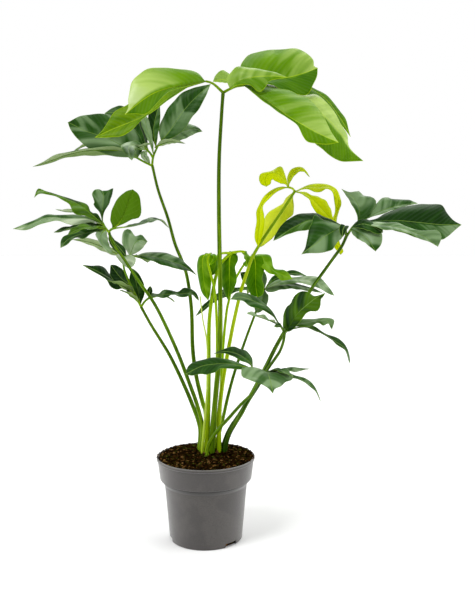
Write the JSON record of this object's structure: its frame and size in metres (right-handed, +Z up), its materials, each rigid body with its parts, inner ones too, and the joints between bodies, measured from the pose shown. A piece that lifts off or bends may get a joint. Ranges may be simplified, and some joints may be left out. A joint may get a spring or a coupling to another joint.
{
  "type": "potted philodendron",
  "caption": "Potted philodendron: long-stalked fronds of spread leaflets rising from the soil of a round plastic nursery pot.",
  "frame": {"origin": "middle of the pot's flat base, where it rests on the table or floor", "axes": "+Z up along the pot's axis, -Y toward the plant's front, +X to the right seen from the front"},
  "size_m": [0.7427, 0.3808, 0.8564],
  "materials": {
    "pot_plastic": "matte",
    "soil": "matte",
    "stump": "matte",
    "spear": "satin",
    "leaf_bright": "satin",
    "leaf_dark": "satin",
    "leaf_young": "satin",
    "leaf_yellow": "satin"
  },
  "bodies": {
    "root": {"pot": "pot_plastic", "soil": "soil", "stump": "stump", "new_spear": "spear", "frond_crown": "leaf_bright", "frond_upper_left": "leaf_dark", "frond_left": "leaf_dark", "frond_lower_left": "leaf_dark", "frond_young_middle": "leaf_young", "frond_young_left": "leaf_young", "frond_young_right": "leaf_young", "frond_yellow": "leaf_yellow", "frond_back": "leaf_dark", "frond_right": "leaf_dark", "frond_middle_right": "leaf_dark", "frond_front": "leaf_dark"}
  },
  "joints": []
}
